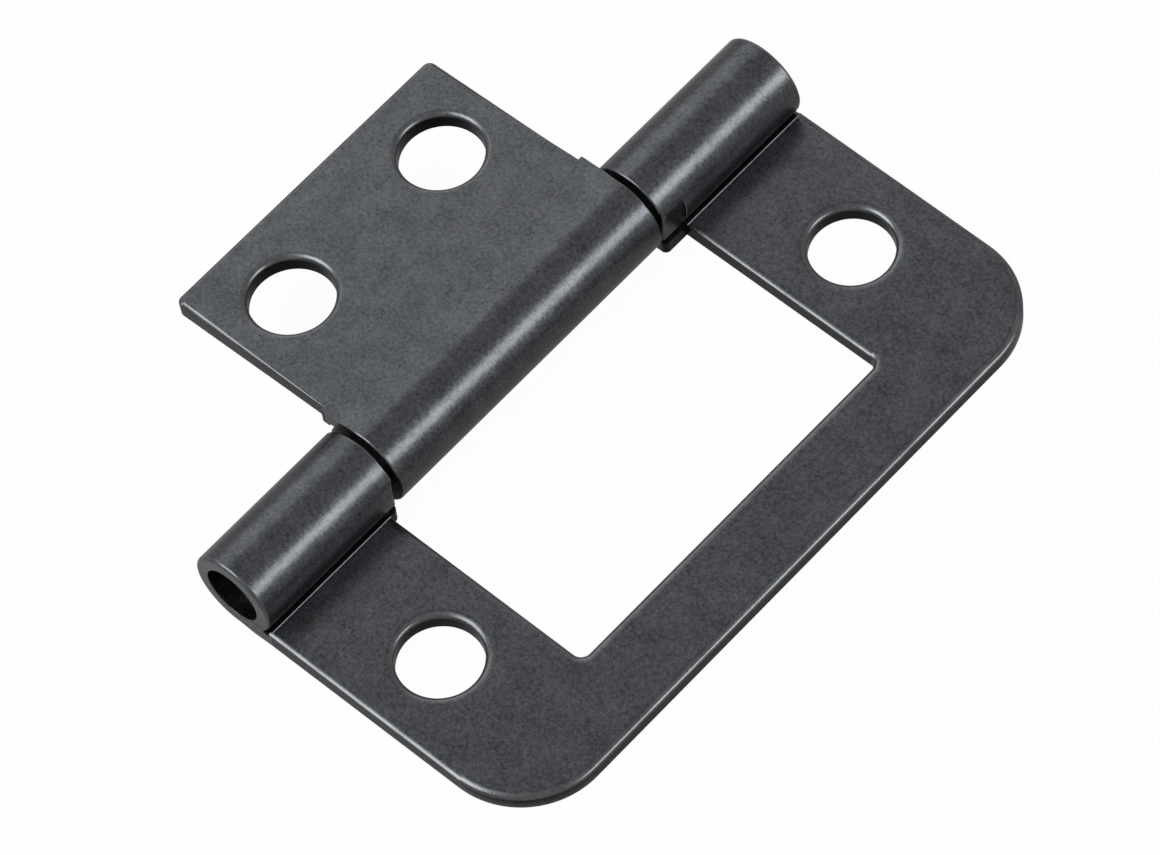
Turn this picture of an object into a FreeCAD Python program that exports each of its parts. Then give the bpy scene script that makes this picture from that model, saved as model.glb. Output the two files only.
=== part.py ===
import FreeCAD, Part

import math
import os

import Sketcher

# Flush hinge with nested leaves: a frame leaf with a window, an inner leaf that folds
# into that window, and the pin that both are rolled around.
# The pin lies along Y, the frame leaf reaches out along +X and Z is up. Lengths are in mm.
# The origin is half-way between the frame leaf's screw holes, on the face that it is
# screwed down on. Each piece is drawn about the pin's axis and then set off from there.

SIZES = {
    # sheet, pin and the fit between them
    "sheet_thickness": 1.6,
    "knuckle_wall": 1.3,
    "pin_diameter": 5.2,
    "running_clearance": 0.05,
    # barrel
    "barrel_length": 63.5,
    "pin_recess": 2.0,
    "pin_end_chamfer": 0.4,
    "knuckle_gap": 0.5,
    "knuckle_rim_chamfer": 0.12,
    # where each rolled strip meets its own leaf
    "leaf_lift": 0.15,
    "shoulder_reach": 3.6,
    "seam_drop": 1.9,
    "seam_gap": 0.06,
    # frame leaf
    "frame_reach": 31.35,
    "frame_corner_radius": 7.6,
    "arm_width": 14.05,
    "bar_width": 7.25,
    "window_corner_radius": 0.9,
    "near_tab_length": 1.05,
    "far_tab_length": 2.45,
    "tab_corner_radius": 0.5,
    "frame_hole_reach": 15.3,
    "frame_hole_from_end": 7.15,
    # inner leaf
    "fold_clearance": 3.3,
    "inner_side_step": 0.4,
    "inner_root_reach": 4.3,
    "inner_corner_radius": 0.7,
    "inner_hole_from_end": 7.05,
    "inner_hole_from_side": 6.2,
    # screw holes and edges of both leaves
    "hole_diameter": 7.2,
    "hole_chamfer": 0.4,
    "edge_radius": 0.22,
    # turn of the inner leaf over the top, from folded shut to how it lies, in degrees
    "open_angle": 183.0,
}

SAME_PLACE = 1e-4

doc = FreeCAD.newDocument("flush_hinge")
sheet = doc.addObject("Spreadsheet::Sheet", "Sizes")
for row, (alias, number) in enumerate(SIZES.items(), start=1):
    sheet.set(f"A{row}", alias)
    sheet.set(f"B{row}", str(number))
    sheet.setAlias(f"B{row}", alias)
doc.recompute()


def number(expression):
    """Value of an expression over the sheet's sizes."""
    return float(sheet.evalExpression(expression))


# Places that several pieces share, as expressions

pin_radius = "(Sizes.pin_diameter / 2)"
barrel_radius = f"({pin_radius} + Sizes.knuckle_wall)"
leaf_under = f"(Sizes.leaf_lift - {barrel_radius})"
leaf_top = f"({leaf_under} + Sizes.sheet_thickness)"
groove_floor = f"({leaf_under} + Sizes.knuckle_wall)"
hole_radius = "(Sizes.hole_diameter / 2)"
barrel_end = "(Sizes.barrel_length / 2)"
window_side = f"({barrel_end} - Sizes.arm_width)"
window_reach = "(Sizes.frame_reach - Sizes.bar_width)"
gap_near = f"(Sizes.near_tab_length - {window_side})"
gap_far = f"({window_side} - Sizes.far_tab_length)"
inner_knuckle_middle = f"(({gap_near} + {gap_far}) / 2)"
inner_knuckle_length = f"({gap_far} - {gap_near} - 2 * Sizes.knuckle_gap)"
inner_side = f"({inner_knuckle_length} / 2 - Sizes.inner_side_step)"
inner_reach = f"({window_reach} - Sizes.fold_clearance)"


# Sketch helpers

START, END, CENTRE = 1, 2, 3
ORIGIN = (-1, 1)
UP = FreeCAD.Vector(0, 0, 1)


def new_body(name):
    body = doc.addObject("PartDesign::Body", name)
    body.Label = name
    return body


def new_sketch(body, name, role):
    sketch = body.newObject("Sketcher::SketchObject", name)
    plane = next(item for item in body.Origin.OriginFeatures if item.Role == role)
    sketch.AttachmentSupport = [(plane, "")]
    sketch.MapMode = "FlatFace"
    return sketch


def point(u, v):
    return FreeCAD.Vector(number(u), number(v), 0)


def polar(radius, angle):
    return FreeCAD.Vector(radius * math.cos(angle), radius * math.sin(angle), 0)


def line(sketch, start, end):
    return sketch.addGeometry(Part.LineSegment(start, end), False)


def arc(sketch, centre, radius, first, last):
    """Arc that runs anticlockwise from the first angle to the last."""
    if last < first:
        last += 2 * math.pi
    return sketch.addGeometry(Part.ArcOfCircle(Part.Circle(centre, UP, radius), first, last), False)


def join(sketch, kind, *places):
    sketch.addConstraint(Sketcher.Constraint(kind, *places))


def tie(sketch, kind, *places, to):
    """Adds a dimension that is bound to the sheet."""
    index = sketch.addConstraint(Sketcher.Constraint(kind, *places, number(to)))
    sketch.setExpression(f"Constraints[{index}]", to)


def add_circle(sketch, u, v, diameter):
    circle = sketch.addGeometry(Part.Circle(point(u, v), UP, number(diameter) / 2), False)
    tie(sketch, "DistanceX", circle, CENTRE, to=u)
    tie(sketch, "DistanceY", circle, CENTRE, to=v)
    tie(sketch, "Diameter", circle, to=diameter)


def add_square_outline(sketch, corners):
    """Closed outline of level and upright edges. Each corner is (u, v, radius or None)."""
    edges = []
    for here, there in zip(corners, corners[1:] + corners[:1]):
        start = point(*here[:2])
        end = point(*there[:2])
        unit = (end - start).normalize()
        edge = line(sketch, start + unit * number(here[2] or "0"), end - unit * number(there[2] or "0"))
        upright = abs(unit.x) < abs(unit.y)
        join(sketch, "Vertical" if upright else "Horizontal", edge)
        tie(sketch, "DistanceX" if upright else "DistanceY", edge, START, to=here[0 if upright else 1])
        edges.append((edge, unit))
    for index, (u, v, radius) in enumerate(corners):
        before, unit_in = edges[index - 1]
        after, unit_out = edges[index]
        if radius is None:
            join(sketch, "Coincident", before, END, after, START)
            continue
        centre = point(u, v) + (unit_out - unit_in) * number(radius)
        ends = [(-unit_out, before, END), (unit_in, after, START)]
        if unit_in.cross(unit_out).z < 0:
            ends.reverse()
        bend = arc(sketch, centre, number(radius), *(math.atan2(way.y, way.x) for way, _, _ in ends))
        for place, (_, edge, edge_place) in zip((START, END), ends):
            join(sketch, "Tangent", edge, edge_place, bend, place)
        tie(sketch, "Radius", bend, to=radius)


# Feature helpers

def pad_middle(body, sketch, name, length):
    pad = body.newObject("PartDesign::Pad", name)
    pad.Profile = sketch
    pad.Midplane = True
    pad.setExpression("Length", length)
    doc.recompute()


def cut_through(body, sketch, name):
    before = body.Shape.Volume
    pocket = body.newObject("PartDesign::Pocket", name)
    pocket.Profile = sketch
    pocket.Type = "ThroughAll"
    pocket.Midplane = True
    doc.recompute()
    if not body.Shape.Volume < before:
        raise RuntimeError(f"{name} cuts nothing")


def dress_edges(body, kind, name, amount, wanted):
    """Rounds or chamfers the edges of the body's last feature that the test picks."""
    base = body.Tip
    picked = [f"Edge{index}" for index, edge in enumerate(base.Shape.Edges, start=1) if wanted(edge)]
    if not picked:
        raise RuntimeError(f"{name} finds no edge")
    feature = body.newObject(f"PartDesign::{kind}", name)
    feature.Base = (base, picked)
    feature.setExpression("Radius" if kind == "Fillet" else "Size", amount)
    doc.recompute()


def same(length, wanted):
    return abs(length - number(wanted)) < SAME_PLACE


def at_height(edge, height):
    return same(edge.BoundBox.ZMin, height) and same(edge.BoundBox.ZMax, height)


def at_outer_end(edge, reach):
    """Upright edge at the outer end of a leaf."""
    box = edge.BoundBox
    return box.ZLength > SAME_PLACE and same(box.XMin, reach) and same(box.XMax, reach)


def is_round(edge, radius):
    return edge.Curve.TypeId == "Part::GeomCircle" and same(edge.Curve.Radius, radius)


def on_roll_rim(edge):
    """Edge round the outside of a rolled knuckle's end."""
    return is_round(edge, barrel_radius) and edge.BoundBox.XMin < 0


# Rolled leaf: one sheet whose strip is flattened thinner, dips from the leaf's underside
# to the barrel, rolls once around the bore and is pressed against its own root at the seam.
# A groove is left between the roll and the shoulder where the full sheet begins.

def rolled_section(body, name, reach, bore_radius):
    shoulder = "Sizes.shoulder_reach"
    lip_above = "(Sizes.seam_gap / 2 - Sizes.seam_drop)"
    lip_below = "(-Sizes.seam_gap / 2 - Sizes.seam_drop)"

    axis = FreeCAD.Vector()
    outer = number(barrel_radius)
    bore = number(bore_radius)
    lift = number("Sizes.leaf_lift")
    dip_radius = (number(shoulder) ** 2 / lift + lift - 2 * outer) / 2
    dip_centre = FreeCAD.Vector(number(shoulder), number(leaf_under) - dip_radius, 0)
    touch = math.atan2(dip_centre.y, dip_centre.x)

    def angle_at(height, radius):
        return math.asin(number(height) / radius)

    sketch = new_sketch(body, name, "XZ_Plane")
    under = line(sketch, point(reach, leaf_under), point(shoulder, leaf_under))
    dip = arc(sketch, dip_centre, dip_radius, math.pi / 2, touch + math.pi)
    roll = arc(sketch, axis, outer, angle_at(lip_above, outer), touch)
    roll_end = line(sketch, polar(outer, angle_at(lip_above, outer)), polar(bore, angle_at(lip_above, bore)))
    hollow = arc(sketch, axis, bore, angle_at(lip_above, bore), angle_at(lip_below, bore))
    lip = line(sketch, polar(bore, angle_at(lip_below, bore)), polar(outer, angle_at(lip_below, outer)))
    root = arc(sketch, axis, outer, angle_at(groove_floor, outer), angle_at(lip_below, outer))
    floor = line(sketch, polar(outer, angle_at(groove_floor, outer)), point(shoulder, groove_floor))
    step = line(sketch, point(shoulder, groove_floor), point(shoulder, leaf_top))
    top = line(sketch, point(shoulder, leaf_top), point(reach, leaf_top))
    side = line(sketch, point(reach, leaf_top), point(reach, leaf_under))

    for level in (under, roll_end, lip, floor, top):
        join(sketch, "Horizontal", level)
    for upright in (step, side):
        join(sketch, "Vertical", upright)
    join(sketch, "Tangent", under, END, dip, START)
    join(sketch, "Tangent", dip, END, roll, END)
    for meeting in ((roll, START, roll_end, START), (roll_end, END, hollow, START),
                    (hollow, END, lip, START), (lip, END, root, END), (root, START, floor, START),
                    (floor, END, step, START), (step, END, top, START), (top, END, side, START),
                    (side, END, under, START)):
        join(sketch, "Coincident", *meeting)
    for ring, radius in ((roll, barrel_radius), (root, barrel_radius), (hollow, bore_radius)):
        join(sketch, "Coincident", ring, CENTRE, *ORIGIN)
        tie(sketch, "Radius", ring, to=radius)
    for edge, place, across in ((under, START, reach), (under, END, shoulder), (step, START, shoulder)):
        tie(sketch, "DistanceX", edge, place, to=across)
    for edge, height in ((under, leaf_under), (roll_end, lip_above), (lip, lip_below),
                         (floor, groove_floor), (top, leaf_top)):
        tie(sketch, "DistanceY", edge, START, to=height)
    return sketch


def cut_screw_holes(body, across, along, face):
    """A hole on each side of the middle, eased where it opens on the given face."""
    holes = new_sketch(body, f"{body.Label}_hole_circles", "XY_Plane")
    for place in (f"(-{along})", along):
        add_circle(holes, across, place, "Sizes.hole_diameter")
    cut_through(body, holes, f"{body.Label}_holes")
    dress_edges(body, "Chamfer", f"{body.Label}_hole_rims", "Sizes.hole_chamfer",
                lambda edge: at_height(edge, face) and is_round(edge, hole_radius))


# Frame leaf

frame = new_body("frame_leaf")
section = rolled_section(frame, "frame_section", "Sizes.frame_reach", pin_radius)
pad_middle(frame, section, "frame_rolled", "Sizes.barrel_length")
dress_edges(frame, "Fillet", "frame_corners", "Sizes.frame_corner_radius",
            lambda edge: at_outer_end(edge, "Sizes.frame_reach"))

# the window opens at the barrel into the gap that the inner knuckle fills; beside that gap
# the strip of each outer knuckle runs on past the window's side as a short tab
window = new_sketch(frame, "window_outline", "XY_Plane")
behind_barrel = f"(-2 * {barrel_radius})"
add_square_outline(window, [
    (behind_barrel, gap_near, None),
    ("Sizes.shoulder_reach", gap_near, "Sizes.tab_corner_radius"),
    ("Sizes.shoulder_reach", f"(-{window_side})", None),
    (window_reach, f"(-{window_side})", "Sizes.window_corner_radius"),
    (window_reach, window_side, "Sizes.window_corner_radius"),
    ("Sizes.shoulder_reach", window_side, None),
    ("Sizes.shoulder_reach", gap_far, "Sizes.tab_corner_radius"),
    (behind_barrel, gap_far, None),
])
cut_through(frame, window, "window_cut")
dress_edges(frame, "Fillet", "frame_top_edges", "Sizes.edge_radius",
            lambda edge: at_height(edge, leaf_top))
dress_edges(frame, "Chamfer", "frame_knuckle_rims", "Sizes.knuckle_rim_chamfer", on_roll_rim)
cut_screw_holes(frame, "Sizes.frame_hole_reach", f"({barrel_end} - Sizes.frame_hole_from_end)", leaf_top)


# Inner leaf, modelled folded shut and about its own middle

inner = new_body("inner_leaf")
inner_bore_radius = f"({pin_radius} + Sizes.running_clearance)"
section = rolled_section(inner, "inner_section", inner_reach, inner_bore_radius)
pad_middle(inner, section, "inner_rolled", inner_knuckle_length)

# beyond its root the leaf is a little narrower than its knuckle
flanks = new_sketch(inner, "flank_outlines", "XY_Plane")
beyond_reach = f"(2 * {inner_reach})"
for near, far in ((inner_side, inner_knuckle_length), (f"(-{inner_knuckle_length})", f"(-{inner_side})")):
    add_square_outline(flanks, [
        ("Sizes.inner_root_reach", near, None),
        (beyond_reach, near, None),
        (beyond_reach, far, None),
        ("Sizes.inner_root_reach", far, None),
    ])
cut_through(inner, flanks, "flank_cuts")
dress_edges(inner, "Fillet", "inner_corners", "Sizes.inner_corner_radius",
            lambda edge: at_outer_end(edge, inner_reach))

# its rounded edges and eased rims are on the face that lies uppermost once it is turned open
past_root = number("Sizes.inner_root_reach") + SAME_PLACE
dress_edges(inner, "Fillet", "inner_outer_edges", "Sizes.edge_radius",
            lambda edge: at_height(edge, leaf_under) and edge.BoundBox.XMax > past_root)
dress_edges(inner, "Chamfer", "inner_knuckle_rims", "Sizes.knuckle_rim_chamfer", on_roll_rim)
cut_screw_holes(inner, f"({inner_reach} - Sizes.inner_hole_from_end)",
                f"({inner_side} - Sizes.inner_hole_from_side)", leaf_under)


# Pin, pressed into both outer knuckles and turning freely in the inner one

pin = new_body("hinge_pin")
pin_circle = new_sketch(pin, "pin_circle", "XZ_Plane")
add_circle(pin_circle, "0", "0", "Sizes.pin_diameter")
pad_middle(pin, pin_circle, "pin_rod", "(Sizes.barrel_length - 2 * Sizes.pin_recess)")
dress_edges(pin, "Chamfer", "pin_ends", "Sizes.pin_end_chamfer", lambda edge: is_round(edge, pin_radius))


# Everything in place, tested and written

def put(body, along_pin, turn):
    """Sets a body off from the pin's axis, turned about it over the top."""
    away = ("(-Sizes.frame_hole_reach)", along_pin, f"(-{leaf_under})")
    body.Placement = FreeCAD.Placement(FreeCAD.Vector(*(number(length) for length in away)),
                                       FreeCAD.Rotation(FreeCAD.Vector(0, -1, 0), number(turn)))
    for letter, length in zip("xyz", away):
        body.setExpression(f"Placement.Base.{letter}", length)
    body.setExpression("Placement.Rotation.Angle", turn)


put(frame, "0", "0")
put(inner, inner_knuckle_middle, "Sizes.open_angle")
put(pin, "0", "0")
doc.recompute()

for item in doc.Objects:
    if "Invalid" in item.State or "Error" in item.State:
        raise RuntimeError(f"{item.Label} did not build")

os.makedirs("parts", exist_ok=True)
for body in (frame, inner, pin):
    shape = body.Shape
    if shape.isNull() or not shape.isValid() or len(shape.Solids) != 1:
        raise RuntimeError(f"{body.Label} is not one sound solid")
    shape.exportStep(f"parts/{body.Label}.step")
    print(body.Label, round(shape.Volume, 2), shape.optimalBoundingBox())
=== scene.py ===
import math

import bmesh
import bpy
from mathutils import Matrix, Vector


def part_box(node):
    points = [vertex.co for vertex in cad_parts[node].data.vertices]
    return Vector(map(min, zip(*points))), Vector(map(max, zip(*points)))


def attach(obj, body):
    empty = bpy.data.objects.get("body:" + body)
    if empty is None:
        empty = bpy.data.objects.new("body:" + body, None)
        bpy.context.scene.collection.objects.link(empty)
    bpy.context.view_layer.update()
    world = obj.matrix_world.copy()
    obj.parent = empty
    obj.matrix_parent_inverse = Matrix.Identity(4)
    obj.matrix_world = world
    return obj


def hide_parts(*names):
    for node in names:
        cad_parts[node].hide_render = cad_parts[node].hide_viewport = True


# Flush hinge with nested leaves, in dark satin plated steel, lying open on white paper.
# Its pieces are drawn in millimetres about the pin's axis, as in the CAD: X runs out across
# the frame leaf, Y along the pin and Z up. Each is then set in its place, in metres.

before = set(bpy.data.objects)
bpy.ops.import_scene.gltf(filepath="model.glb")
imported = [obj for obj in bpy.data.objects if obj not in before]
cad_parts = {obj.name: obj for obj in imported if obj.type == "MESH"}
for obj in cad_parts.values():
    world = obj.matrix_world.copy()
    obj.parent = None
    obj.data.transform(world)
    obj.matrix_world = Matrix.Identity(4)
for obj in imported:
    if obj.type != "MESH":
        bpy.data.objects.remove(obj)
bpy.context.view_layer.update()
scene = bpy.context.scene
MM = 0.001


# Frame leaf: the larger leaf, blanked from mild steel sheet with its window and two screw
# holes. The strips at its two arms are flattened, rolled once around the pin and pressed
# against their own roots, and the whole is plated dark and left satin.

# The section across the pin. The roll's end meets its own root below the axis, and the full
# sheet starts again at the shoulder. The leaf's underside lies a little above the barrel's.
PIN_RADIUS = 2.6
KNUCKLE_WALL = 1.3
BARREL_RADIUS = PIN_RADIUS + KNUCKLE_WALL
SHEET = 1.6
LEAF_LIFT = 0.15
LEAF_UNDER = LEAF_LIFT - BARREL_RADIUS
LEAF_TOP = LEAF_UNDER + SHEET
SHOULDER_REACH = 3.6
SEAM_DROP = 1.9
SEAM_GAP = 0.06

# The blank's plan. A short tab of each strip runs past the window's side, towards the
# middle knuckle. A shape that is trimmed later runs past the part by FAR_OUT.
BARREL_END = 31.75
FRAME_REACH = 31.35
FRAME_CORNER = 7.6
ARM_WIDTH = 14.05
BAR_WIDTH = 7.25
WINDOW_SIDE = BARREL_END - ARM_WIDTH
WINDOW_REACH = FRAME_REACH - BAR_WIDTH
WINDOW_CORNER = 0.9
NEAR_TAB = 1.05
FAR_TAB = 2.45
TAB_CORNER = 0.5
GAP_NEAR = NEAR_TAB - WINDOW_SIDE
GAP_FAR = WINDOW_SIDE - FAR_TAB
FAR_OUT = 2 * BARREL_RADIUS

# How fine round shapes are, and how near two places or directions have to be to be the same.
# A direction is compared by its share along an axis.
TURN_STEP = math.radians(2.5)
SAME_POINT = 0.0001
SAME_LEVEL = 0.001
JUST_PAST = 0.01
SAME_WAY = 0.9
CROSSWAYS = 0.1
ALONG_PIN = Vector((0, 1, 0))
UPWARD = Vector((0, 0, 1))


def arc(centre, radius, first, last):
    """Points along an arc, both ends among them, no further apart than the turn's step."""
    steps = max(2, math.ceil(abs(last - first) / TURN_STEP))
    turns = (first + (last - first) * i / steps for i in range(steps + 1))
    return [(centre[0] + radius * math.cos(turn), centre[1] + radius * math.sin(turn)) for turn in turns]


def rolled_section(bore, reach):
    """Section of a leaf across the pin: the flat sheet, its dip, and the roll around the bore."""
    dip_radius = (SHOULDER_REACH ** 2 / LEAF_LIFT + LEAF_LIFT - 2 * BARREL_RADIUS) / 2
    dip_centre = (SHOULDER_REACH, LEAF_UNDER - dip_radius)
    touch = math.atan2(dip_centre[1], dip_centre[0])
    groove_floor = LEAF_UNDER + KNUCKLE_WALL
    lip_above = SEAM_GAP / 2 - SEAM_DROP
    lip_below = -SEAM_GAP / 2 - SEAM_DROP
    return ([(reach, LEAF_UNDER)]
            + arc(dip_centre, dip_radius, math.pi / 2, touch + math.pi)
            + arc((0, 0), BARREL_RADIUS, touch, math.asin(lip_above / BARREL_RADIUS) - math.tau)[1:]
            + arc((0, 0), bore, math.asin(lip_above / bore), math.asin(lip_below / bore) + math.tau)
            + arc((0, 0), BARREL_RADIUS, math.asin(lip_below / BARREL_RADIUS),
                  math.asin(groove_floor / BARREL_RADIUS))
            + [(SHOULDER_REACH, groove_floor), (SHOULDER_REACH, LEAF_TOP), (reach, LEAF_TOP)])


def square_outline(corners):
    """Points of an outline of level and upright edges. Each corner is (x, y, radius)."""
    points = []
    for index, (x, y, radius) in enumerate(corners):
        if not radius:
            points.append((x, y))
            continue
        here = Vector((x, y))
        before = (here - Vector(corners[index - 1][:2])).normalized()
        after = (Vector(corners[(index + 1) % len(corners)][:2]) - here).normalized()
        centre = here + (after - before) * radius
        first = math.atan2(-after.y, -after.x)
        turn = math.copysign(math.pi / 2, before.cross(after))
        points += arc(centre, radius, first, first + turn)
    return points


def as_mesh(shape):
    """Mesh of a bmesh, which is used up."""
    mesh = bpy.data.meshes.new("shape")
    shape.to_mesh(mesh)
    shape.free()
    return mesh


def prism(points, way, low, high):
    """Closed mesh of an outline pulled from low to high: along Y for a section, Z for a plan."""
    shape = bmesh.new()
    rings = []
    for level in (low, high):
        places = [(u, level, v) if way == "Y" else (u, v, level) for u, v in points]
        rings.append([shape.verts.new(place) for place in places])
        shape.faces.new(rings[-1])
    for index, corner in enumerate(rings[0]):
        before = index - 1
        shape.faces.new((rings[0][before], corner, rings[1][index], rings[1][before]))
    bmesh.ops.recalc_face_normals(shape, faces=shape.faces)
    return as_mesh(shape)


def evaluated(item):
    """Plain mesh of an object after its modifiers. The object is used up."""
    bpy.context.view_layer.update()
    mesh = bpy.data.meshes.new_from_object(item.evaluated_get(bpy.context.evaluated_depsgraph_get()))
    bpy.data.objects.remove(item)
    return mesh


def combined(mesh, tool, operation):
    """Exact boolean of two closed meshes."""
    pair = [bpy.data.objects.new("part", mesh), bpy.data.objects.new("tool", tool)]
    for item in pair:
        scene.collection.objects.link(item)
    step = pair[0].modifiers.new("boolean", "BOOLEAN")
    step.operation = operation
    step.solver = "EXACT"
    step.object = pair[1]
    result = evaluated(pair[0])
    bpy.data.objects.remove(pair[1])
    return result


frame_plan = square_outline([
    (-FAR_OUT, -BARREL_END, 0), (FRAME_REACH, -BARREL_END, FRAME_CORNER),
    (FRAME_REACH, BARREL_END, FRAME_CORNER), (-FAR_OUT, BARREL_END, 0),
    (-FAR_OUT, GAP_FAR, 0), (SHOULDER_REACH, GAP_FAR, TAB_CORNER),
    (SHOULDER_REACH, WINDOW_SIDE, 0), (WINDOW_REACH, WINDOW_SIDE, WINDOW_CORNER),
    (WINDOW_REACH, -WINDOW_SIDE, WINDOW_CORNER), (SHOULDER_REACH, -WINDOW_SIDE, 0),
    (SHOULDER_REACH, GAP_NEAR, TAB_CORNER), (-FAR_OUT, GAP_NEAR, 0)])
frame_mesh = combined(
    prism(rolled_section(PIN_RADIUS, FRAME_REACH + FAR_OUT), "Y", -BARREL_END - SHEET, BARREL_END + SHEET),
    prism(frame_plan, "Z", -FAR_OUT, FAR_OUT), "INTERSECT")

# Blanking draws one face of the sheet in along the cut, so the rim there is wider than it is
# deep, and the other face's stays nearly sharp. The barrel's own two ends, further out than
# TIP_START, are rounded a little more than the knuckles' ends at the gaps.
FRAME_RIM = 0.75
FRAME_RIM_DEPTH = 0.4
SHARP_RIM = 0.1
TIP_RIM = 0.3
GAP_RIM = 0.2
TIP_START = 30


def eased(mesh, wanted, width, steps, depth=None):
    """Rounds the edges that pass the test of an edge and its two faces, less deep than wide if asked.

    A round that ends at the leaf's dip leaves the dip's faces twisted. They are split into flat
    ones here, because a boolean of a twisted face would leave a crease or a hole.
    """
    shape = bmesh.new()
    shape.from_mesh(mesh)
    bmesh.ops.remove_doubles(shape, verts=shape.verts, dist=SAME_POINT)
    picked = [edge for edge in shape.edges if len(edge.link_faces) == 2 and wanted(edge, *edge.link_faces)]
    level = max(vert.co.z for edge in picked for vert in edge.verts)
    made = bmesh.ops.bevel(shape, geom=picked, offset=width, segments=steps, profile=0.5,
                           affect="EDGES", clamp_overlap=False)
    if depth:
        for vert in made["verts"]:
            vert.co.z = level - (level - vert.co.z) * depth / width
    dipped = [face for face in shape.faces if face.calc_center_median().z < LEAF_UNDER]
    bmesh.ops.connect_verts_nonplanar(shape, angle_limit=math.radians(1), faces=dipped)
    shape.to_mesh(mesh)
    shape.free()


def is_corner(faces, axis):
    """Whether one of two faces looks along the axis and the other one across it."""
    across, along = sorted(abs(face.normal.dot(axis)) for face in faces)
    return across < CROSSWAYS and along > SAME_WAY


def level_edge(height, reach):
    """Test for the edges between a leaf's face at that height and its walls, past that reach."""
    def test(edge, *faces):
        ends = [vert.co for vert in edge.verts]
        return (all(abs(end.z - height) < SAME_LEVEL for end in ends)
                and (ends[0].x + ends[1].x) / 2 > reach + JUST_PAST and is_corner(faces, UPWARD))
    return test


def ring_edge(radius, nearest=0, furthest=math.inf):
    """Test for the edges round a knuckle's end at that radius, by how far the end is from the middle."""
    def test(edge, *faces):
        ends = [vert.co for vert in edge.verts]
        return (nearest < abs(ends[0].y) < furthest
                and all(abs(math.hypot(end.x, end.z) - radius) < SAME_LEVEL for end in ends)
                and is_corner(faces, ALONG_PIN))
    return test


eased(frame_mesh, level_edge(LEAF_TOP, SHOULDER_REACH), FRAME_RIM, steps=8, depth=FRAME_RIM_DEPTH)
eased(frame_mesh, level_edge(LEAF_UNDER, SHOULDER_REACH), SHARP_RIM, steps=2)
eased(frame_mesh, ring_edge(BARREL_RADIUS, nearest=TIP_START), TIP_RIM, steps=4)
eased(frame_mesh, ring_edge(BARREL_RADIUS, furthest=TIP_START), GAP_RIM, steps=4)
eased(frame_mesh, ring_edge(PIN_RADIUS), SHARP_RIM, steps=2)

# Flattening the strips leaves a fine burr along both shoulders, up to a little before the
# barrel's ends. It catches the light as a thin line beside the groove.
BURR_RADIUS = 0.12
BURR_SINK = 0.04
BURR_SHORT = 0.3
burr = arc((SHOULDER_REACH + BURR_RADIUS, LEAF_TOP - BURR_SINK), BURR_RADIUS, 0, math.tau)[:-1]
for low, high in ((BURR_SHORT - BARREL_END, -WINDOW_SIDE), (WINDOW_SIDE, BARREL_END - BURR_SHORT)):
    frame_mesh = combined(frame_mesh, prism(burr, "Y", low, high), "UNION")

# The plain screw holes are punched, with the same drawn-in rim on the same face.
HOLE_RADIUS = 3.6
FRAME_HOLE_REACH = 15.3
FRAME_HOLE_SPACING = 49.2
SPIN_STEPS = 96
FLARE_STEPS = 8


def spun(profile, axis):
    """Closed mesh of a profile turned once round the axis. Each of its points is (across, along)."""
    shape = bmesh.new()
    corners = [shape.verts.new(Vector((across, 0, 0)) + along * axis) for across, along in profile]
    lines = [shape.edges.new(pair) for pair in zip(corners, corners[1:])]
    bmesh.ops.spin(shape, geom=corners + lines, cent=(0, 0, 0), axis=axis, angle=math.tau,
                   steps=SPIN_STEPS, use_duplicate=False)
    bmesh.ops.remove_doubles(shape, verts=shape.verts, dist=SAME_POINT)
    bmesh.ops.recalc_face_normals(shape, faces=shape.faces)
    return as_mesh(shape)


def hole_punch(face, outward, rim, deep):
    """Tool for one screw hole: a rod that flares where the punch drew the sheet's face in."""
    flare = [(HOLE_RADIUS + rim * (1 + math.cos(turn)), face - outward * deep * (1 - math.sin(turn)))
             for turn in (math.pi * (1 - i / (2 * FLARE_STEPS)) for i in range(FLARE_STEPS + 1))]
    profile = [(0, -outward * FAR_OUT), (HOLE_RADIUS, -outward * FAR_OUT)] + flare
    profile += [(HOLE_RADIUS + rim, face + outward * SHEET), (0, face + outward * SHEET)]
    return spun(profile, UPWARD)


def node(tree, kind, settings=None, inputs=None, links=None):
    """Adds a node, sets its settings and input values, and links its inputs."""
    made = tree.nodes.new(kind)
    for name, value in (settings or {}).items():
        setattr(made, name, value)
    for name, value in (inputs or {}).items():
        made.inputs[name].default_value = value
    for name, source in (links or {}).items():
        tree.links.new(source, made.inputs[name])
    return made


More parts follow.
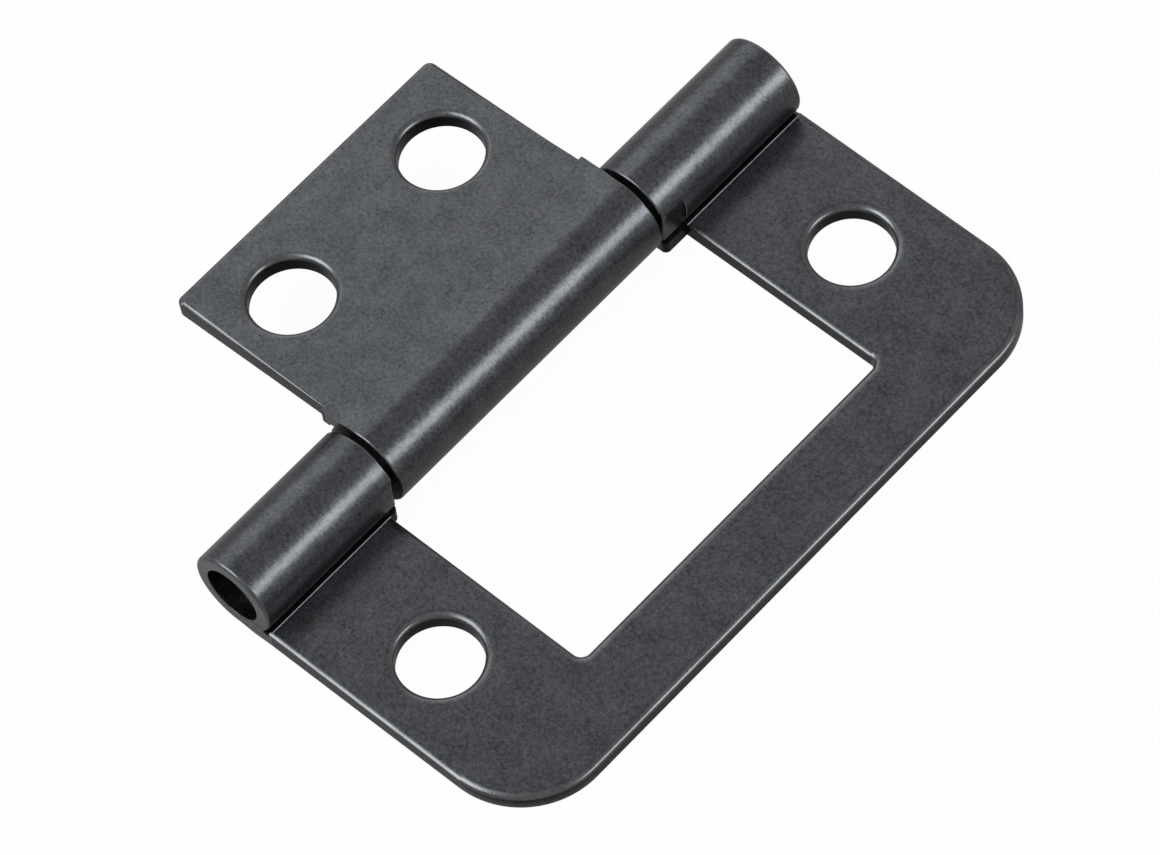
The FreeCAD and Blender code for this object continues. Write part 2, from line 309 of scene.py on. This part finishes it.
def row_of(mesh, count, spacing):
    """The mesh repeated along Y about the middle, by a Geometry Nodes tree."""
    tree = bpy.data.node_groups.new("row", "GeometryNodeTree")
    tree.interface.new_socket("Geometry", in_out="INPUT", socket_type="NodeSocketGeometry")
    counted = tree.interface.new_socket("Count", in_out="INPUT", socket_type="NodeSocketInt")
    spaced = tree.interface.new_socket("Spacing", in_out="INPUT", socket_type="NodeSocketFloat")
    tree.interface.new_socket("Geometry", in_out="OUTPUT", socket_type="NodeSocketGeometry")
    given = node(tree, "NodeGroupInput")
    back = node(tree, "ShaderNodeMath", {"operation": "MULTIPLY"}, {1: -0.5}, {0: given.outputs["Spacing"]})
    gaps = node(tree, "ShaderNodeMath", {"operation": "SUBTRACT"}, {1: 1.0}, {0: given.outputs["Count"]})
    first = node(tree, "ShaderNodeMath", {"operation": "MULTIPLY"},
                 links={0: back.outputs[0], 1: gaps.outputs[0]})
    start = node(tree, "ShaderNodeCombineXYZ", links={"Y": first.outputs[0]})
    offset = node(tree, "ShaderNodeCombineXYZ", links={"Y": given.outputs["Spacing"]})
    spots = node(tree, "GeometryNodeMeshLine", links={
        "Count": given.outputs["Count"], "Start Location": start.outputs[0], "Offset": offset.outputs[0]})
    copies = node(tree, "GeometryNodeInstanceOnPoints",
                  links={"Points": spots.outputs[0], "Instance": given.outputs["Geometry"]})
    real = node(tree, "GeometryNodeRealizeInstances", links={0: copies.outputs[0]})
    finish = node(tree, "GeometryNodeSetMaterial", links={0: real.outputs[0]})
    node(tree, "NodeGroupOutput", links={0: finish.outputs[0]})
    item = bpy.data.objects.new("row", mesh)
    scene.collection.objects.link(item)
    repeat = item.modifiers.new("row", "NODES")
    repeat.node_group = tree
    repeat[counted.identifier] = count
    repeat[spaced.identifier] = spacing
    return evaluated(item)


def punched(mesh, punch, spacing, reach):
    """Cuts a leaf's two screw holes, at that reach from the pin."""
    punches = row_of(punch, 2, spacing)
    punches.transform(Matrix.Translation((reach, 0, 0)))
    return combined(mesh, punches, "DIFFERENCE")


frame_mesh = punched(frame_mesh, hole_punch(LEAF_TOP, 1, FRAME_RIM, FRAME_RIM_DEPTH),
                     FRAME_HOLE_SPACING, FRAME_HOLE_REACH)

# The plating is thin and takes the steel's own fine grit, so it shines as satin: a dark metal
# with soft streaks instead of mirrored shapes. Its grain is a few hundredths of a millimetre
# and is drawn ten times as coarse, so that it shows. Its tone drifts in clouds of 2.4 mm.
# Rims and knuckle ends are painted lighter in patches, as painted highlight, and the sheet's side walls
# darker, as painted shade.
GRAIN = 0.3 * MM
CLOUD = 2.4 * MM
GRIT_DEPTH = 0.01 * MM


def linear(code):
    """Linear colour of an sRGB hex code."""
    parts = [int(code[i:i + 2], 16) / 255 for i in (1, 3, 5)]
    return [p / 12.92 if p <= 0.04045 else ((p + 0.055) / 1.055) ** 2.4 for p in parts] + [1.0]


def satin_plating(name, dark, light):
    """Dark plating over steel, between two tones, with painted shade on the sheet's side walls and a patchy
    painted highlight on rims and knuckle ends.
    """
    plated = bpy.data.materials.new(name)
    plated.use_nodes = True
    tree = plated.node_tree
    tree.nodes.clear()
    place = node(tree, "ShaderNodeTexCoord").outputs["Object"]
    cloud = node(tree, "ShaderNodeTexNoise", inputs={"Scale": 1 / CLOUD, "Detail": 4.0, "Roughness": 0.6},
                 links={"Vector": place})
    grain = node(tree, "ShaderNodeTexNoise", inputs={"Scale": 1 / GRAIN, "Detail": 3.0, "Roughness": 0.95},
                 links={"Vector": place})
    speckle = node(tree, "ShaderNodeMath", {"operation": "MULTIPLY"}, {1: 0.75}, {0: grain.outputs["Fac"]})
    tone = node(tree, "ShaderNodeMath", {"operation": "MULTIPLY_ADD"}, {1: 0.25},
                {0: cloud.outputs["Fac"], 2: speckle.outputs[0]})
    colour = node(tree, "ShaderNodeValToRGB", links={"Fac": tone.outputs[0]})
    colour.color_ramp.elements[0].position = 0.35
    colour.color_ramp.elements[0].color = linear(dark)
    colour.color_ramp.elements[1].position = 0.65
    colour.color_ramp.elements[1].color = linear(light)
    # Painted shade: the marked side walls of the sheet are pulled to a near black, standing in for the
    # shadowed floor they mirror.
    painted_shade = node(tree, "ShaderNodeAttribute", {"attribute_name": "painted_shade"})
    with_painted_shade = node(tree, "ShaderNodeMix", {"data_type": "RGBA"}, {"B": linear("#1d1e20")},
                  {"Factor": painted_shade.outputs["Fac"], "A": colour.outputs["Color"]})
    # Painted highlight: the marked rims, hole flares and knuckle ends are pulled lighter, in patches shaped
    # by the cloud noise.
    painted_highlight = node(tree, "ShaderNodeAttribute", {"attribute_name": "painted_highlight"})
    patchy_highlight = node(tree, "ShaderNodeMath", {"operation": "MULTIPLY"},
                  links={0: painted_highlight.outputs["Fac"], 1: cloud.outputs["Fac"]})
    with_painted_highlight = node(tree, "ShaderNodeMix", {"data_type": "RGBA"}, {"B": linear("#66686a")},
                 {"Factor": patchy_highlight.outputs[0], "A": with_painted_shade.outputs["Result"]})
    rough = node(tree, "ShaderNodeMapRange",
                 inputs={"From Min": 0.3, "From Max": 0.7, "To Min": 0.24, "To Max": 0.34},
                 links={"Value": grain.outputs["Fac"]})
    bump = node(tree, "ShaderNodeBump", inputs={"Strength": 0.25, "Distance": GRIT_DEPTH},
                links={"Height": grain.outputs["Fac"]})
    shader = node(tree, "ShaderNodeBsdfPrincipled", inputs={"Metallic": 1.0},
                  links={"Base Color": with_painted_highlight.outputs["Result"], "Roughness": rough.outputs[0],
                         "Normal": bump.outputs[0]})
    node(tree, "ShaderNodeOutputMaterial", links={"Surface": shader.outputs["BSDF"]})
    return plated


# A wall's normal has less than LEANS of an axis, and a level face's has more than IS_LEVEL
# of the upward one. Edges that turn by more than SHARP_TURN stay sharp.
LEANS = 0.15
IS_LEVEL = 0.98
SHARP_TURN = math.radians(32)


def finished(mesh, cad_node, place, material, body):
    """Marks the faces that take painted highlight and painted shade, sets the mesh in place and puts it in
    for its CAD node.

    The end of a roll and the side of its sheet are one face at first. It is cut in two where the
    sheet begins, because the sheet's side is painted darker, as painted shade, and the roll's
    rounded end lighter, as painted highlight.
    """
    shape = bmesh.new()
    shape.from_mesh(mesh)
    ends = [face for face in shape.faces if abs(face.normal.y) > SAME_WAY]
    bmesh.ops.bisect_plane(shape, geom=shape.verts[:] + shape.edges[:] + ends, dist=SAME_POINT,
                           plane_co=(BARREL_RADIUS, 0, 0), plane_no=(1, 0, 0))
    shape.to_mesh(mesh)
    shape.free()
    # Faces marked for painted highlight (rims, flares, knuckle ends) and for painted shade (the sheet's
    # side walls).
    painted_highlight = mesh.attributes.new("painted_highlight", "FLOAT", "FACE")
    painted_shade = mesh.attributes.new("painted_shade", "FLOAT", "FACE")
    for face in mesh.polygons:
        across = abs(face.normal.y)
        up = abs(face.normal.z)
        on_roll = math.hypot(face.center.x, face.center.z) < BARREL_RADIUS + JUST_PAST
        painted_highlight.data[face.index].value = across > LEANS if on_roll else LEANS < up < IS_LEVEL
        painted_shade.data[face.index].value = up < LEANS and not on_roll
    mesh.transform(Matrix.Scale(MM, 4) @ place)
    low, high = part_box(cad_node)
    for vert in mesh.vertices:
        vert.co = [min(max(at, least), most) for at, least, most in zip(vert.co, low, high)]
    mesh.name = cad_node + "_finished"
    mesh.materials.clear()
    mesh.materials.append(material)
    mesh.polygons.foreach_set("use_smooth", [True] * len(mesh.polygons))
    mesh.set_sharp_from_angle(angle=SHARP_TURN)
    item = bpy.data.objects.new(mesh.name, mesh)
    scene.collection.objects.link(item)
    even = item.modifiers.new("even normals", "WEIGHTED_NORMAL")
    even.keep_sharp = True
    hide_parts(cad_node)
    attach(item, body)


leaf_plating = satin_plating("satin dark plating on sheet steel", "#35373a", "#5b5d60")
pin_axis = sum(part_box("hinge_pin"), Vector()) / 2 / MM
finished(frame_mesh, "frame_leaf", Matrix.Translation(pin_axis), leaf_plating, "frame")


# Inner leaf: the smaller leaf, blanked from the same sheet, its whole width rolled as the
# middle knuckle and free to turn on the pin. It lies open, turned by 183 degrees from shut,
# so its underside, which has the drawn-in rims, is up.

INNER_MIDDLE = -0.7
INNER_KNUCKLE = 15.45
INNER_SIDE = 15.05
INNER_ROOT = 4.3
INNER_REACH = 20.8
INNER_CORNER = 0.7
RUNNING_CLEARANCE = 0.05
INNER_BORE = PIN_RADIUS + RUNNING_CLEARANCE
INNER_RIM = 0.45
INNER_RIM_DEPTH = 0.3
INNER_FLARE = 0.6
INNER_FLARE_DEPTH = 0.5
INNER_HOLE_REACH = 13.75
INNER_HOLE_SPACING = 17.7
OPEN_TURN = math.radians(183)

inner_plan = square_outline([
    (-FAR_OUT, -INNER_KNUCKLE, 0), (INNER_ROOT, -INNER_KNUCKLE, 0), (INNER_ROOT, -INNER_SIDE, 0),
    (INNER_REACH, -INNER_SIDE, INNER_CORNER), (INNER_REACH, INNER_SIDE, INNER_CORNER),
    (INNER_ROOT, INNER_SIDE, 0), (INNER_ROOT, INNER_KNUCKLE, 0), (-FAR_OUT, INNER_KNUCKLE, 0)])
inner_mesh = combined(
    prism(rolled_section(INNER_BORE, INNER_REACH + FAR_OUT), "Y",
          -INNER_KNUCKLE - SHEET, INNER_KNUCKLE + SHEET),
    prism(inner_plan, "Z", -FAR_OUT, FAR_OUT), "INTERSECT")
eased(inner_mesh, level_edge(LEAF_UNDER, INNER_ROOT), INNER_RIM, steps=6, depth=INNER_RIM_DEPTH)
eased(inner_mesh, level_edge(LEAF_TOP, INNER_ROOT), SHARP_RIM, steps=2)
eased(inner_mesh, ring_edge(BARREL_RADIUS), GAP_RIM, steps=4)
inner_mesh = punched(inner_mesh, hole_punch(LEAF_UNDER, -1, INNER_FLARE, INNER_FLARE_DEPTH),
                     INNER_HOLE_SPACING, INNER_HOLE_REACH)
inner_place = (Matrix.Translation(pin_axis + Vector((0, INNER_MIDDLE, 0)))
               @ Matrix.Rotation(-OPEN_TURN, 4, "Y"))
finished(inner_mesh, "inner_leaf", inner_place, leaf_plating, "leaf")


# Hinge pin: a length of drawn steel rod with chamfered ends, pressed into both outer
# knuckles so that its ends lie a little way inside them. It is plated like the leaves;
# drawing left it smoother, so its tone varies less, and its tone is darker than theirs.

PIN_END = 29.75
PIN_CHAMFER = 0.4
PIN_FACE = PIN_RADIUS - PIN_CHAMFER
PIN_SIDE_END = PIN_END - PIN_CHAMFER

pin_mesh = spun([(0, -PIN_END), (PIN_FACE, -PIN_END), (PIN_RADIUS, -PIN_SIDE_END),
                 (PIN_RADIUS, PIN_SIDE_END), (PIN_FACE, PIN_END), (0, PIN_END)], ALONG_PIN)
pin_plating = satin_plating("dark plating on drawn steel rod", "#333538", "#3f4144")
finished(pin_mesh, "hinge_pin", Matrix.Translation(pin_axis), pin_plating, "frame")


# Floor: a broad sheet of matt white paper under the barrel, which lies a little lower than
# the leaf. It is seen as plain white with the hinge's soft shadow, while it throws a dimmer
# light on the hinge and shows dimmer in the plating.

PAPER_SIZE = 3.0
WHITE_SEEN = 0.95
WHITE_MIRRORED = 0.15

bpy.ops.mesh.primitive_plane_add(size=PAPER_SIZE, location=(0, 0, -LEAF_LIFT * MM))
floor = bpy.context.object
floor.name = "floor"
paper = bpy.data.materials.new("matt white paper")
paper.use_nodes = True
tree = paper.node_tree
tree.nodes.clear()
diffuse = node(tree, "ShaderNodeBsdfDiffuse", inputs={"Color": linear("#a2a2a2")})
glow = node(tree, "ShaderNodeEmission", inputs={"Strength": 1.02})
path = node(tree, "ShaderNodeLightPath")
bounced = node(tree, "ShaderNodeMath", {"operation": "ADD", "use_clamp": True},
               links={0: path.outputs["Is Glossy Ray"], 1: path.outputs["Is Transmission Ray"]})
mirrored = node(tree, "ShaderNodeMath", {"operation": "MULTIPLY"}, {1: WHITE_MIRRORED},
                {0: bounced.outputs[0]})
share = node(tree, "ShaderNodeMath", {"operation": "MULTIPLY_ADD", "use_clamp": True}, {1: WHITE_SEEN},
             {0: path.outputs["Is Camera Ray"], 2: mirrored.outputs[0]})
mixed = node(tree, "ShaderNodeMixShader", links={
    "Fac": share.outputs[0], 1: diffuse.outputs[0], 2: glow.outputs[0]})
node(tree, "ShaderNodeOutputMaterial", links={"Surface": mixed.outputs[0]})
floor.data.materials.append(paper)


# Light: a dim even room and three softboxes. The right one draws the streak along the barrel,
# the front one brightens the rims of the near edges, and the broad, faint left one lights
# the flat faces.

SOFTBOX_DISTANCE = 0.6

world = scene.world or bpy.data.worlds.new("studio")
scene.world = world
world.use_nodes = True
tree = world.node_tree
tree.nodes.clear()
dim = node(tree, "ShaderNodeBackground", inputs={"Color": (1, 1, 1, 1), "Strength": 0.66})
node(tree, "ShaderNodeOutputWorld", links={"Surface": dim.outputs[0]})


def softbox(name, toward, width, length, radiance):
    """Area lamp of that radiance, in that direction from the origin and facing it, in metres."""
    data = bpy.data.lights.new(name, "AREA")
    data.shape = "RECTANGLE"
    data.size = width
    data.size_y = length
    data.energy = radiance * math.pi * width * length
    lamp = bpy.data.objects.new(name, data)
    scene.collection.objects.link(lamp)
    back = Vector(toward).normalized()
    side = ALONG_PIN.cross(back).normalized()
    lamp.matrix_world = Matrix((side, back.cross(side), back)).transposed().to_4x4()
    lamp.location = back * SOFTBOX_DISTANCE


softbox("right softbox", (0.765, 0.357, 0.536), 0.21, 0.35, 6.2)
softbox("front softbox", (-0.4, -0.59, 0.69), 0.44, 0.36, 5.5)
softbox("left softbox", (-0.711, 0.357, 0.606), 0.41, 0.5, 1.04)


# Camera: a long lens about 0.6 m away, on the frame leaf's side and at the barrel's near
# end, looking down by 58 degrees. Its place, turn and lens were fitted to the edges, the
# holes and the barrel in the photograph.

CAMERA_PLACE = (0.232988, -0.211641, 0.513029)
CAMERA_TURN = (31.5821, 4.1921, 41.9019)
LENS = 235.363
SENSOR = 36

data = bpy.data.cameras.new("camera")
data.lens = LENS
data.sensor_width = SENSOR
camera = bpy.data.objects.new("camera", data)
camera.location = CAMERA_PLACE
camera.rotation_euler = [math.radians(turn) for turn in CAMERA_TURN]
scene.collection.objects.link(camera)
scene.camera = camera
scene.view_settings.view_transform = "Standard"
